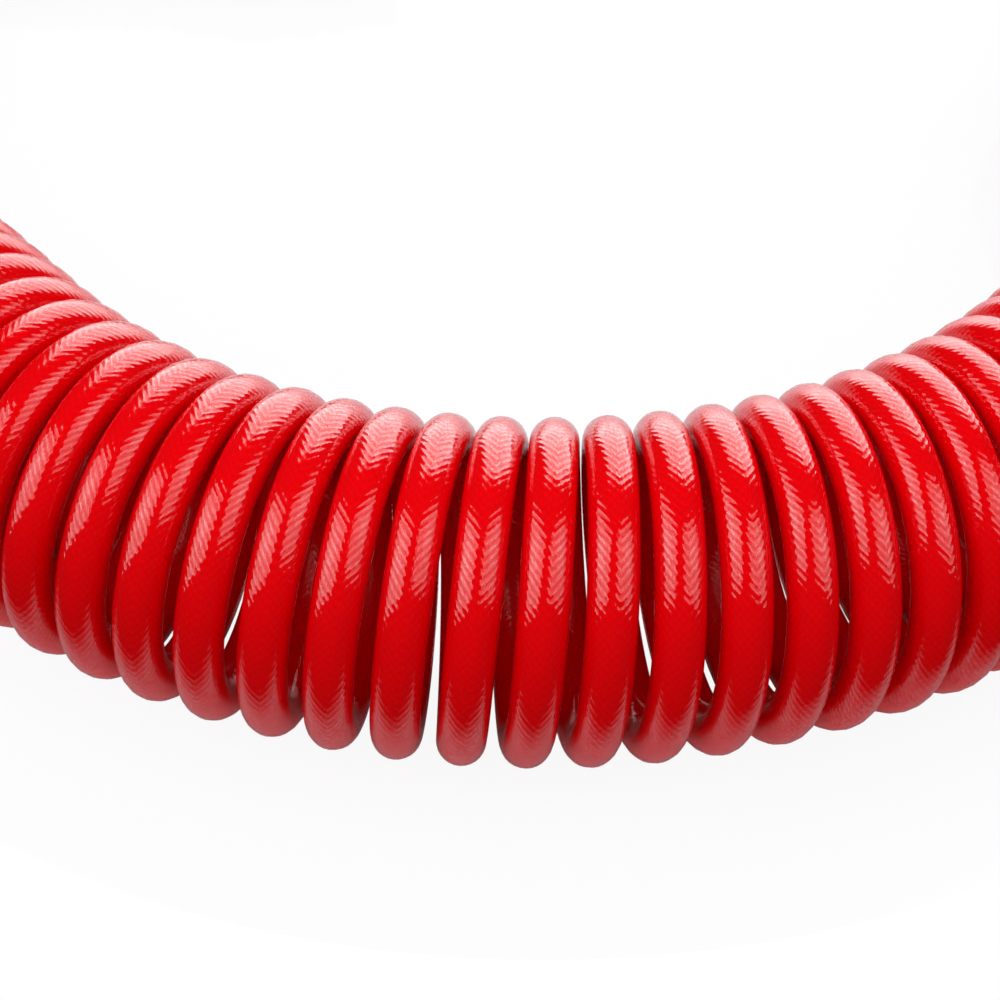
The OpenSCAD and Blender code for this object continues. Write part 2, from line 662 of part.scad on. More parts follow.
// --- nodes ---
module coil_inlet_run() { coil(-inlet_turns - 0.5, inlet_bend_turn); }
module coil_inlet_bend() { coil(inlet_bend_turn, left_run_turn); }
module coil_left_run() { coil(left_run_turn, front_left_turn); }
module coil_front_left() { coil(front_left_turn, front_right_turn); }
module coil_front_right() { coil(front_right_turn, right_bend_turn); }
module coil_right_bend() { coil(right_bend_turn, outlet_run_turn); }
module coil_outlet_run() { coil(outlet_run_turn, outlet_turns + 0.5); }
module inlet_tail() { tail(inlet_path, inlet_dir, inlet_way); }
module outlet_tail() { tail(outlet_path, outlet_dir, outlet_way); }
module inlet_kink_guard() { color(spring_steel) at_inlet() kink_guard(); }
module inlet_nut() { color(brass) at_inlet() nut(); }
module inlet_stem() { color(brass) at_inlet() stem(); }
module inlet_swivel_seal() { color(black) at_inlet() swivel_seal(); }
module inlet_swivel_ring() { color(spring_steel) at_inlet() swivel_ring(); }
module plug_nipple() { color(steel) at_inlet() plug(); }
module outlet_kink_guard() { color(spring_steel) at_outlet() kink_guard(); }
module outlet_nut() { color(brass) at_outlet() nut(); }
module outlet_stem() { color(brass) at_outlet() stem(); }
module outlet_swivel_seal() { color(black) at_outlet() swivel_seal(); }
module outlet_swivel_ring() { color(spring_steel) at_outlet() swivel_ring(); }
module coupler_adapter() { color(brass) at_outlet() adapter(); }
module coupler_body() { color(steel) at_outlet() coupler_shell(); }
module plug_seal() { color(black) at_outlet() seal_ring(); }
module coupler_sleeve() { color(steel) at_outlet() sleeve(); }
module sleeve_spring() { color(spring_steel) at_outlet() sleeve_coil(); }
module sleeve_stop_ring() { color(spring_steel) at_outlet() stop_ring(); }
module valve_poppet() { color(brass) at_outlet() valve(); }
module valve_seal() { color(black) at_outlet() valve_ring(); }
module valve_spring() { color(spring_steel) at_outlet() valve_coil(); }

union() {
    gaps = [for (k = [-inlet_rings : outlet_rings - rings_per_turn - 1]) least_gap(k)];
    echo(least_gap_between_turns = min(gaps));
    echo(coil_length = coil_len, turns = (inlet_rings + outlet_rings) / rings_per_turn);
    echo(inlet_tail_length = sum_len(inlet_path), outlet_tail_length = sum_len(outlet_path));
    echo(x_mid = x_mid, y_mid = y_mid, inlet_end = inlet_end, outlet_end = outlet_end);
    echo(plug_radius = plug_r, plug_body_mid = plug_z + plug_body_len / 2,
        plug_body_length = plug_body_len);
    echo(socket_radius = socket_r, socket_mid = (socket_front + socket_edge) / 2,
        socket_length = socket_front - socket_edge);
    echo(sleeve_travel = sleeve_travel, ball_travel = ball_travel, valve_travel = valve_travel);
}

coil_inlet_run();
coil_inlet_bend();
coil_left_run();
coil_front_left();
coil_front_right();
coil_right_bend();
coil_outlet_run();
inlet_tail();
outlet_tail();
inlet_kink_guard();
inlet_nut();
inlet_stem();
inlet_swivel_seal();
inlet_swivel_ring();
plug_nipple();
outlet_kink_guard();
outlet_nut();
outlet_stem();
outlet_swivel_seal();
outlet_swivel_ring();
coupler_adapter();
coupler_body();
plug_seal();
coupler_sleeve();
sleeve_spring();
sleeve_stop_ring();
ball(0);  // locking_ball_1
ball(1);  // locking_ball_2
ball(2);  // locking_ball_3
ball(3);  // locking_ball_4
valve_poppet();
valve_seal();
valve_spring();
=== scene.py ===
"""Coiled air hose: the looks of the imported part, laid out as an add-on."""

import math

import bpy
import numpy as np
from bpy.props import FloatProperty, FloatVectorProperty, IntProperty, PointerProperty
from mathutils import Matrix, Vector


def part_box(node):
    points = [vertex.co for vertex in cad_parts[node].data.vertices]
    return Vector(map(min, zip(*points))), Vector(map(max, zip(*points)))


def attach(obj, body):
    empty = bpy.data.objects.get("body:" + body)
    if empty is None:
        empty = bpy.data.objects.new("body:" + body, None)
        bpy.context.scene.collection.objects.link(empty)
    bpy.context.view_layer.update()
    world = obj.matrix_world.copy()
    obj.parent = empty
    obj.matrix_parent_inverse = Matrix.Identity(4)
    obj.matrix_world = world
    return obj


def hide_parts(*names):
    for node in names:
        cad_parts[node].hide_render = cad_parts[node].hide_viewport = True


bl_info = {
    "name": "Coiled Air Hose",
    "version": (1, 0, 0),
    "blender": (4, 5, 0),
    "location": "View3D > Sidebar > Air Hose",
    "description": "Builds the braided hose, its springs, fittings and studio round the packed part",
    "category": "Object",
}

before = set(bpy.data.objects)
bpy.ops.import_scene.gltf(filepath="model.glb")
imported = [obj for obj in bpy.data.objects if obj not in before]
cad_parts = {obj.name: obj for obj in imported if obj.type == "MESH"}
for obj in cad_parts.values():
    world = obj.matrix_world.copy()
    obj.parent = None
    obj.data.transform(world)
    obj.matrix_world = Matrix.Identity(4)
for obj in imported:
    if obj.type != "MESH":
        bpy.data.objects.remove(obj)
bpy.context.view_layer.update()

MM = 0.001
# Below 1 only so that the metals don't go black where this studio gives reflections nothing; metal itself is 1
METAL_SHARE = 0.78
ROUND_MAP = "round_and_along"
FADE_MAP = "fade"

# --- the hose as the part's source has it, in millimetres and degrees ---
HOSE_R = 6.0
BARB_BORE_R = 4.35
BARB_LEN = 20.0
COIL_R = 36.2
TOUCH = 12.1
INLET_TURNS = 34.5
OUTLET_TURNS = 29.5
FRONT_HEADING = -3.0
FRONT_SHARE = 0.73
FRONT_TURN = FRONT_SHARE * FRONT_HEADING
WALK_RINGS = 8

FRONT_RIGHT = (36.5, 195.0)
SIDE_RIGHT_R = 215.0
FRONT_LEFT = (44.5, 190.0)
LEFT_RUN = 105.0
SIDE_LEFT_R = 160.0

# --- the tails ---
INLET_LEAD = 12.0
OUTLET_REACH = 24.0
OUTLET_LEAD = 52.0
TAIL_BEND_R = 45.0
TAIL_RISE = 40.0
END_RUN = 80.0
HOSE_LENGTH = 15.0
LENGTH_MAY_MISS = 0.05
STEM_MAY_MISS = 0.2

# --- the camera: its aim from the front joint, its height in degrees, its distance, roll in radians ---
FRONT_JOINT_TO_AIM = (2.1, 34.5, 40.0)
CAMERA_HEIGHT = 42.95
CAMERA_AWAY = 569.0
CAMERA_ROLL = 0.009
CAMERA_LENS = 81.2

# --- springs: (radius to the middle of the wire, wire, curls, from, to), along the fitting's axis ---
KINK_GUARD = (7.2, 1.8, 8, -76.5, -16.5)
SLEEVE_SPRING = (9.78, 0.8, 4, 45.9, 52.7)
VALVE_SPRING = (4.65, 1.0, 4, 36.7, 45.75)
SPRING_END_GAP = 0.5

# --- how finely the meshes are drawn ---
RINGS_PER_WALK_STEP = 6
TAIL_STEP = 2.0
ROUGH_STEP = 10.0
HOSE_SIDES = 28
GUARD_SIDES = 16
INNER_SPRING_SIDES = 10
SPRING_RINGS = 48
SHARP_FROM = 50

COIL_NODES = [
    "coil_inlet_run",
    "coil_inlet_bend",
    "coil_left_run",
    "coil_front_left",
    "coil_front_right",
    "coil_right_bend",
    "coil_outlet_run",
    "inlet_tail",
    "outlet_tail",
]
BRASS_NODES = ["inlet_nut", "inlet_stem", "outlet_nut", "outlet_stem", "coupler_adapter", "valve_poppet"]
PLATED_NODES = ["plug_nipple", "coupler_body", "coupler_sleeve"]
RING_NODES = ["inlet_swivel_ring", "outlet_swivel_ring", "sleeve_stop_ring"]
SEAL_NODES = ["inlet_swivel_seal", "outlet_swivel_seal", "plug_seal", "valve_seal"]
BALL_NODES = ["locking_ball_1", "locking_ball_2", "locking_ball_3", "locking_ball_4"]

# --- the studio: how far the floor reaches ahead of the coil and how wide its painted fade to black in reflections is there, in millimetres; the rest in metres ---
FLOOR_AHEAD = 34.0
FLOOR_FADE = 28.0
FLOOR_SIDE = 1.1
FLOOR_BACK = 1.6
FLOOR_MIRRORED = 0.02
# Share by which the floor's colour is painted darker in reflections only: painted shade for the dark room ahead. At
# the front edge it is painted black
FLOOR_REFLECTION_PAINTED_DARK = 0.65
# How far the mirrored backdrop reaches: its sides as x over y, its top edge by the y of the way there
BACKDROP_LEFT = 0.42
BACKDROP_RIGHT = 1.19
BACKDROP_TOP = 0.52
# What reflections see outside the backdrop, how soft its edge is, and between which heights the ambient light starts
MIRRORED_LEVEL = 0.02
BACKDROP_SOFT = 0.05
AMBIENT_FROM = -0.25
AMBIENT_FULL = 0.15
LEFT_WAY = (-0.768, -0.177, 0.616)
RIGHT_WAY = (0.656, -0.349, 0.669)
# (name, offset from the camera's aim, way it hangs, roll in degrees, width, height, level).
# Only reflections show these cards, and they are placed for the camera's own view
REFLECTED_CARDS = [
    ("card_left", (-1.34, -0.23, 0.84), LEFT_WAY, 45, 2.36, 1.40, 0.85),
    ("card_left_core", (-1.30, -0.17, 0.86), LEFT_WAY, 45, 0.90, 0.50, 0.55),
    ("card_right", (1.20, -0.46, 0.98), RIGHT_WAY, -45, 2.20, 1.30, 0.60),
    ("card_right_core", (1.27, -0.28, 0.93), RIGHT_WAY, -45, 0.90, 0.45, 0.35),
    ("card_top", (0.43, 1.12, 1.27), (0, 0.634, 0.773), 0, 1.80, 0.44, 1.0),
    ("card_top_core", (0.60, 1.06, 1.30), (0, 0.634, 0.773), 0, 0.40, 0.46, 0.6),
    ("card_back", (0.52, 1.35, 0.56), (0, 1, 0), 0, 2.18, 1.22, 1.2),
]
# Lamps that light the object and that reflections don't show
LIGHT_BOXES = [
    ("key", (-0.20, -0.55, 1.30), (-0.15, -0.4, 0.95), 0, 2.20, 1.50, 1.0),
    ("fill", (0.60, 0.90, 0.95), (0.4, 0.6, 0.6), 0, 1.40, 1.20, 0.45),
]


# --- shader maths ---
class Value:
    """A shader socket that can be used in a sum: each operator adds its Math node."""

    def __init__(self, tree, socket):
        self.tree = tree
        self.socket = socket

    def maths(self, operation, *others):
        made = self.tree.nodes.new("ShaderNodeMath")
        made.operation = operation
        for slot, item in zip(made.inputs, (self, *others)):
            if isinstance(item, Value):
                self.tree.links.new(item.socket, slot)
            else:
                slot.default_value = item
        return Value(self.tree, made.outputs[0])

    def __add__(self, other):
        return self.maths("ADD", other)

    __radd__ = __add__

    def __mul__(self, other):
        return self.maths("MULTIPLY", other)

    __rmul__ = __mul__

    def __sub__(self, other):
        return self.maths("SUBTRACT", other)

    def __rsub__(self, other):
        return (self * -1.0) + other

    def absolute(self):
        return self.maths("ABSOLUTE")

    def fraction(self):
        return self.maths("FRACT")

    def sine(self):
        return self.maths("SINE")

    def power(self, exponent):
        return self.maths("POWER", exponent)

    def larger(self, other):
        return self.maths("MAXIMUM", other)

    def smaller(self, other):
        return self.maths("MINIMUM", other)


class Finish:
    """A node tree with one method for every kind of node."""

    def __init__(self, owner):
        owner.use_nodes = True
        self.owner = owner
        self.tree = owner.node_tree
        self.tree.nodes.clear()

    def add(self, kind, settings=None, sockets=None):
        """Adds a node, makes its settings first and then sets or links its sockets."""
        made = self.tree.nodes.new("ShaderNode" + kind)
        for key, item in (settings or {}).items():
            setattr(made, key, item)
        for key, item in (sockets or {}).items():
            slot = made.inputs[key]
            if isinstance(item, Value):
                self.tree.links.new(item.socket, slot)
            elif isinstance(item, bpy.types.NodeSocket):
                self.tree.links.new(item, slot)
            else:
                slot.default_value = item
        return made

    def value(self, node, output=0):
        return Value(self.tree, node.outputs[output])

    def mix_colour(self, factor, dark, light):
        """A colour between two, by a factor."""
        made = self.add("Mix", {"data_type": "RGBA"})
        for place, item in ((0, factor), (6, dark), (7, light)):
            if isinstance(item, Value):
                self.tree.links.new(item.socket, made.inputs[place])
            elif isinstance(item, bpy.types.NodeSocket):
                self.tree.links.new(item, made.inputs[place])
            else:
                made.inputs[place].default_value = item
        return made.outputs[2]

    def surface(self, shader):
        kind = "OutputWorld" if isinstance(self.owner, bpy.types.World) else "OutputMaterial"
        self.add(kind, None, {"Surface": shader})


def new_material(name):
    return Finish(bpy.data.materials.new(name))


def rgba(colour, level=1.0):
    return (*(channel * level for channel in colour), 1.0)


# --- the hose's route ---
def stretches():
    """Stretches of the coil's axis on each side: (sweep of the axis, sweep of the turns, length)."""
    sweep, radius = FRONT_RIGHT
    side = 90 - FRONT_HEADING - sweep
    right = [
        (sweep, FRONT_SHARE * sweep, radius * math.radians(sweep)),
        (side, 90 - FRONT_TURN - FRONT_SHARE * sweep, SIDE_RIGHT_R * math.radians(side)),
    ]
    sweep, radius = FRONT_LEFT
    side = 90 + FRONT_HEADING - sweep
    left = [
        (sweep, FRONT_SHARE * sweep, radius * math.radians(sweep)),
        (0.0, (1 - FRONT_SHARE) * (sweep - FRONT_HEADING), LEFT_RUN),
        (side, side, SIDE_LEFT_R * math.radians(side)),
    ]
    return right, left


def rates(way, walked):
    for sweep, turn, length in way:
        if walked < length:
            return sweep / length, turn / length
        walked -= length
    return 0.0, 0.0


def walk(way, side, turns, finer):
    """States (x, y, heading of the turns) of the coil's axis, walked outwards and one ring too far."""
    x, y, heading, turn, walked = 0.0, 0.0, FRONT_HEADING, FRONT_TURN, 0.0
    states = []
    steps = round(turns * WALK_RINGS)
    for _ in range(steps + 2):
        axis_rate, turn_rate = rates(way, walked)
        room = math.cos(math.radians(heading - turn)) - COIL_R * math.radians(turn_rate)
        ds = TOUCH / room / WALK_RINGS
        middle = math.radians(heading + side * axis_rate * ds / 2)
        for i in range(finer):
            part = side * ds * i / finer
            states.append((x + part * math.cos(middle), y + part * math.sin(middle), turn + turn_rate * part))
        x += side * ds * math.cos(middle)
        y += side * ds * math.sin(middle)
        heading += side * axis_rate * ds
        turn += side * turn_rate * ds
        walked += ds
    return states[: steps * finer + 2]


def coil_route(finer):
    """Centres of the hose through the coil and one ring beyond each end, and the spoke to each."""
    right, left = stretches()
    outlet = walk(right, 1, OUTLET_TURNS, finer)
    inlet = walk(left, -1, INLET_TURNS, finer)
    centres, spokes = [], []
    for k in range(1 - len(inlet), len(outlet)):
        x, y, turn = outlet[k] if k >= 0 else inlet[-k]
        phase = math.radians(-360 * k / (WALK_RINGS * finer))
        turn = math.radians(turn)
        spoke = np.array([math.sin(phase) * math.sin(turn), -math.sin(phase) * math.cos(turn), math.cos(phase)])
        spokes.append(spoke)
        centres.append(np.array([x, y, COIL_R + HOSE_R]) + COIL_R * spoke)
    return centres, spokes


def smooth(u):
    return u * u * (3 - 2 * u)


def straight(start, way, length, step):
    count = max(1, round(length / step))
    return [start + way * length * i / count for i in range(1, count + 1)]


def rise(start, way, height, step):
    count = round(TAIL_RISE / step)
    return [
        start + way * TAIL_RISE * i / count + np.array([0, 0, (height - start[2]) * smooth(i / count)])
        for i in range(1, count + 1)
    ]


def inlet_tail_route(start, leaving, height, step):
    """Leaves the coil sideways and runs straight across the back."""
    out = start + INLET_LEAD * leaving
    bend = np.array([out[0] + 2 * HOSE_R, out[1] + HOSE_R * leaving[1], start[2]])
    ahead = np.array([1.0, 0.0, 0.0])
    route = straight(start, leaving, INLET_LEAD, step)
    gap = bend - out
    route += straight(out, gap / np.linalg.norm(gap), float(np.linalg.norm(gap)), step)
    route += rise(bend, ahead, height, step)
    return route + straight(route[-1], ahead, END_RUN, step)


def outlet_tail_route(start, leaving, height, step):
    """Leaves the coil outwards, turns forward and lies beside it."""
    heading = math.atan2(leaving[1], leaving[0])
    out = np.array([math.cos(heading), math.sin(heading), 0.0])
    route = straight(start, out, OUTLET_REACH, step)
    centre = route[-1] + TAIL_BEND_R * np.array([math.sin(heading), -math.cos(heading), 0.0])
    sweep = heading + math.pi / 2
    count = round(TAIL_BEND_R * sweep / step)
    for i in range(1, count + 1):
        h = heading - sweep * i / count
        route.append(centre + TAIL_BEND_R * np.array([-math.sin(h), math.cos(h), 0.0]))
    ahead = np.array([0.0, -1.0, 0.0])
    route += straight(route[-1], ahead, OUTLET_LEAD, step)
    route += rise(route[-1], ahead, height, step)
    return route + straight(route[-1], ahead, END_RUN, step)


def hose_ends():
    """Middle of each end face of the hose, in millimetres, from the stems that it is pushed on."""
    low, high = (Vector(corner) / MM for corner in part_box("inlet_stem"))
    inlet = Vector((low.x + BARB_LEN, (low.y + high.y) / 2, (low.z + high.z) / 2))
    low, high = (Vector(corner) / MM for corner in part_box("outlet_stem"))
    outlet = Vector(((low.x + high.x) / 2, high.y - BARB_LEN, (low.z + high.z) / 2))
    return inlet, outlet


def unit(way):
    return way / np.linalg.norm(way)


def hose_route(finer, step):
    """The whole hose from its inlet to its outlet, and the way out at each point, in millimetres."""
    inlet_end, outlet_end = hose_ends()
    coarse, _ = coil_route(1)
    centres, spokes = (rows[1:-1] for rows in coil_route(finer))
    inlet_tail = inlet_tail_route(centres[0], unit(coarse[0] - coarse[2]), inlet_end.z, step)
    outlet_tail = outlet_tail_route(centres[-1], unit(coarse[-1] - coarse[-3]), outlet_end.z, step)
    down = np.array([0.0, 0.0, -1.0])
    points = inlet_tail[::-1] + centres + outlet_tail
    outs = [down] * len(inlet_tail) + spokes + [down] * len(outlet_tail)
    moved = np.array(inlet_end) - inlet_tail[-1]
    missed = outlet_tail[-1] + moved - np.array(outlet_end)
    if np.linalg.norm(missed) > STEM_MAY_MISS:
        raise RuntimeError(f"the hose misses its outlet stem by {missed}")
    return np.array(points) + moved, np.array(outs), moved


def floor_front(ahead):
    """The floor's front edge: it keeps this far, in millimetres, from the outer side of the coil."""
    _, _, moved = hose_route(1, ROUGH_STEP)
    right, left = stretches()
    inlet = walk(left, -1, INLET_TURNS, 1)[::-1]
    reach = COIL_R + HOSE_R + ahead
    edge = []
    for x, y, turn in inlet[:-1] + walk(right, 1, OUTLET_TURNS, 1):
        turn = math.radians(turn)
        edge.append((x + moved[0] + reach * math.sin(turn), y + moved[1] - reach * math.cos(turn)))
    return edge


def camera_aim():
    """Where the camera looks: the coil's walk starts at the front joint, at the route's own zero."""
    _, _, moved = hose_route(1, ROUGH_STEP)
    return (Vector(FRONT_JOINT_TO_AIM) + Vector((moved[0], moved[1], 0.0))) * MM


# --- meshes ---
def tube_mesh(name, points, outs, radius, sides, bore=None):
    """A tube round a route, unrolled onto a map of (share of the way round, metres along).

    outs points from the route to where the map's seam lies. bore is the (radius, depth) of a
    blind hole in each end.
    """
    points, outs = np.array(points, float), np.array(outs, float)
    along = np.gradient(points, axis=0)
    along /= np.linalg.norm(along, axis=1)[:, None]
    across = np.cross(along, outs)
    across /= np.linalg.norm(across, axis=1)[:, None]
    outs = np.cross(across, along)
    walked = np.concatenate([[0], np.cumsum(np.linalg.norm(np.diff(points, axis=0), axis=1))]) * MM
    radii = np.full(len(points), float(radius))
    if bore:
        # The rings at each end go in over the rim and down the bore
        bore_r, depth = bore
        order = [0, 0, *range(len(points)), len(points) - 1, len(points) - 1]
        points, outs, across, walked, radii, along = (a[order] for a in (points, outs, across, walked, radii, along))
        radii[[0, 1, -2, -1]] = bore_r
        points[0] += along[0] * depth
        points[-1] -= along[-1] * depth
    angle = 2 * math.pi * np.arange(sides) / sides
    spread = np.cos(angle)[None, :, None] * outs[:, None, :] + np.sin(angle)[None, :, None] * across[:, None, :]
    verts = points[:, None, :] + radii[:, None, None] * spread
    count = len(points)
    i, j = np.meshgrid(np.arange(count - 1), np.arange(sides), indexing="ij")
    beside = (j + 1) % sides
    quads = np.stack([i * sides + j, i * sides + beside, (i + 1) * sides + beside, (i + 1) * sides + j], -1)
    faces = [*quads.reshape(-1, 4).tolist(), list(range(sides))[::-1]]
    faces.append([(count - 1) * sides + k for k in range(sides)])
    mesh = bpy.data.meshes.new(name)
    mesh.from_pydata((verts.reshape(-1, 3) * MM).tolist(), [], faces)
    u = np.stack([j, j + 1, j + 1, j], -1) / sides
    v = np.stack([walked[i], walked[i], walked[i + 1], walked[i + 1]], -1)
    unrolled = np.concatenate([np.stack([u, v], -1).reshape(-1, 2), np.zeros((2 * sides, 2))])
    mesh.uv_layers.new(name=ROUND_MAP).uv.foreach_set("vector", unrolled.astype(np.float32).ravel())
    mesh.shade_smooth()
    mesh.set_sharp_from_angle(angle=math.radians(SHARP_FROM))
    return mesh


def spring_mesh(name, shape, rings, sides):
    """A spring with closed ends along +Z, drawn by the same rule as the part's own."""
    mid_r, wire, curls, start, end = shape
    close = wire + SPRING_END_GAP
    low, high = start + wire / 2, end - wire / 2
    points, outs = [], []
    for i in range(curls * rings + 1):
        u = i / rings
        if u <= 1:
            z = low + close * u
        elif u >= curls - 1:
            z = high - close * (curls - u)
        else:
            z = low + close + (high - low - 2 * close) * (u - 1) / (curls - 2)
        a = 2 * math.pi * u
        points.append((mid_r * math.cos(a), mid_r * math.sin(a), z))
        outs.append((math.cos(a), math.sin(a), 0))
    return tube_mesh(name, points, outs, wire / 2, sides)


def link(mesh, name, material):
    made = bpy.data.objects.new(name, mesh)
    mesh.materials.append(material)
    bpy.context.scene.collection.objects.link(made)
    return made


def laid_at(end, heading):
    """Lays down along the hose what is drawn along +Z from its end face."""
    turned = Matrix.Rotation(math.radians(heading), 4, "Z") @ Matrix.Rotation(math.pi / 2, 4, "Y")
    return Matrix.Translation(end * MM) @ turned


def dress(nodes, material):
    """Gives carried-over nodes their finish."""
    for name in nodes:
        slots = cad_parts[name].material_slots
        if not slots:
            raise RuntimeError(f"{name} came without a material slot")
        for held in slots:
            held.material = material


# --- finishes ---
def braided_jacket(look):
    """Clear red polyurethane over a braid: its yarns lift the surface in slanting ridges."""
    made = new_material("braided_jacket")
    place = made.add("SeparateXYZ", None, {0: made.add("UVMap", {"uv_map": ROUND_MAP}).outputs[0]})
    around, along = made.value(place, 0), made.value(place, 1)
    slant = ((around * look.braid_columns - look.braid_apex * look.braid_columns).fraction() * 2.0 - 1.0).absolute()
    circumference = 2 * math.pi * HOSE_R * MM
    lean = circumference / (2 * look.braid_columns) / look.yarn_pitch * look.yarn_slope
    rows = along * (1 / look.yarn_pitch)
    ridge = ((rows + slant * lean) * (2 * math.pi)).sine() * 0.5 + 0.5
    under = ((rows - slant * lean) * (2 * math.pi)).sine() * 0.5 + 0.5
    grain = made.value(
        made.add("TexNoise", None, {"Vector": made.add("TexCoord").outputs["Object"], "Scale": 260.0, "Detail": 2.0})
    )
    drift = made.value(
        made.add("TexNoise", None, {"Vector": made.add("TexCoord").outputs["Object"], "Scale": 55.0, "Detail": 3.0})
    )
    height = ridge * (grain * 0.9 + 0.5) + under * 0.3 + drift * 0.8
    relief = made.add("Bump", None, {"Strength": 1.0, "Distance": look.braid_relief, "Height": height})
    groove = (1.0 - ridge).power(3.0).larger((1.0 - under).power(5.0))
    colour = made.mix_colour(groove * 0.25 + (drift - 0.5) * 0.2, rgba(look.jacket), rgba(look.jacket, 0.62))
    roughness = (drift - 0.5) * 0.08 + look.gloss
    mixed = made.add("MixShader", None, {0: ridge})
    for place, reflected in ((1, 0.34), (2, 0.90)):
        shader = made.add(
            "BsdfPrincipled",
            None,
            {
                "Base Color": colour,
                "Roughness": roughness,
                "IOR": 1.6,
                "Specular IOR Level": reflected,
                "Subsurface Weight": 0.8,
                "Subsurface Radius": (1.0, 0.12, 0.1),
                "Subsurface Scale": 0.006,
                "Normal": relief.outputs[0],
            },
        )
        made.tree.links.new(shader.outputs[0], mixed.inputs[place])
    made.surface(mixed.outputs[0])
    return made.owner


def turned_metal(name, colour, roughness, axis, knurl=0.0):
    """Metal off the lathe: fine marks run round the fitting's own axis."""
    made = new_material(name)
    place = made.add("TexCoord").outputs["Object"]
    along = made.value(made.add("SeparateXYZ", None, {0: place}), "XYZ".index(axis))
    marks_at = made.add("CombineXYZ", None, {0: along})
    marks = made.value(made.add("TexNoise", None, {"Vector": marks_at.outputs[0], "Scale": 5200.0, "Detail": 4.0}))
    smears = made.value(made.add("TexNoise", None, {"Vector": place, "Scale": 140.0, "Detail": 5.0}))
    specks = made.value(made.add("TexNoise", None, {"Vector": place, "Scale": 900.0, "Detail": 2.0}))
    relief = made.add("Bump", None, {"Strength": 0.5, "Distance": 0.00002, "Height": marks + specks * 0.2})
    colour = made.mix_colour((smears - 0.4) * 1.6, rgba(colour), rgba(colour, 0.82))
    shader = made.add(
        "BsdfPrincipled",
        None,
        {
            "Base Color": colour,
            "Metallic": METAL_SHARE,
            "Roughness": (smears - 0.5) * 0.25 + (marks - 0.5) * 0.12 + roughness,
            "Normal": relief.outputs[0],
        },
    )
    made.surface(shader.outputs[0])
    return made.owner


def drawn_wire(name, colour):
    """Bright spring wire, with the draw marks that run along it."""
    made = new_material(name)
    place = made.add("TexCoord").outputs["Object"]
    streaks = made.value(made.add("TexNoise", None, {"Vector": place, "Scale": 700.0, "Detail": 4.0}))
    stains = made.value(made.add("TexNoise", None, {"Vector": place, "Scale": 90.0, "Detail": 3.0}))
    relief = made.add("Bump", None, {"Strength": 0.4, "Distance": 0.00002, "Height": streaks})
    shader = made.add(
        "BsdfPrincipled",
        None,
        {
            "Base Color": made.mix_colour((stains - 0.35) * 1.5, rgba(colour), rgba(colour, 0.75)),
            "Metallic": METAL_SHARE,
            "Roughness": streaks * 0.2 + 0.18,
            "Normal": relief.outputs[0],
        },
    )
    made.surface(shader.outputs[0])
    return made.owner


def seal_rubber(colour):
    """Black nitrile with the fine tooth of its mould."""
    made = new_material("seal_rubber")
    place = made.add("TexCoord").outputs["Object"]
    tooth = made.value(made.add("TexNoise", None, {"Vector": place, "Scale": 1800.0, "Detail": 3.0}))
    bloom = made.value(made.add("TexNoise", None, {"Vector": place, "Scale": 250.0, "Detail": 3.0}))
    relief = made.add("Bump", None, {"Strength": 0.5, "Distance": 0.00003, "Height": tooth})
    shader = made.add(
        "BsdfPrincipled",
        None,
        {
            "Base Color": made.mix_colour(bloom, rgba(colour), rgba(colour, 1.8)),
            "Roughness": bloom * 0.25 + 0.45,
            "Normal": relief.outputs[0],
        },
    )
    made.surface(shader.outputs[0])
    return made.owner


def polished_ball(colour):
    made = new_material("ball_steel")
    place = made.add("TexCoord").outputs["Object"]
    scuffs = made.value(made.add("TexNoise", None, {"Vector": place, "Scale": 1500.0, "Detail": 5.0}))
    shader = made.add(
        "BsdfPrincipled",
        None,
        {
            "Base Color": made.mix_colour(scuffs, rgba(colour), rgba(colour, 0.9)),
            "Metallic": 1.0,
            "Roughness": scuffs.power(3.0) * 0.4 + 0.05,
        },
    )
    made.surface(shader.outputs[0])
    return made.owner


# --- what a user would change ---
class HoseLook(bpy.types.PropertyGroup):
    jacket: FloatVectorProperty(
        name="Jacket",
        description="Colour of the hose",
        subtype="COLOR",
        size=3,
        min=0,
        max=1,
        default=(0.86, 0.0, 0.003),
    )
    gloss: FloatProperty(
        name="Roughness", description="Roughness of the jacket", min=0, max=1, default=0.055, subtype="FACTOR"
    )
    yarn_pitch: FloatProperty(
        name="Yarn pitch", description="Distance from yarn to yarn along the hose", default=0.0020, unit="LENGTH"
    )
    yarn_slope: FloatProperty(
        name="Yarn slope", description="How far a yarn runs along the hose for each step round it", default=1.0
    )
    braid_columns: IntProperty(name="Columns", description="Times that the yarns turn back round the hose", default=2)
    braid_apex: FloatProperty(
        name="Apex", description="Where round the hose the yarns turn back, as a share of a turn", default=0.03
    )
    braid_relief: FloatProperty(
        name="Relief", description="Height of the yarns under the jacket", default=0.000036, unit="LENGTH"
    )


class FittingLook(bpy.types.PropertyGroup):
    brass: FloatVectorProperty(
        name="Brass", description="Stems, nuts, adapter and valve", subtype="COLOR", size=3, default=(0.80, 0.58, 0.25)
    )
    plating: FloatVectorProperty(
        name="Plating", description="Plug and coupler", subtype="COLOR", size=3, default=(0.72, 0.70, 0.66)
    )
    wire: FloatVectorProperty(
        name="Wire", description="Springs and rings", subtype="COLOR", size=3, default=(0.62, 0.62, 0.63)
    )
    rubber: FloatVectorProperty(
        name="Rubber", description="Seals", subtype="COLOR", size=3, default=(0.02, 0.02, 0.02)
    )
    ball: FloatVectorProperty(
        name="Ball", description="Locking balls", subtype="COLOR", size=3, default=(0.80, 0.80, 0.82)
    )


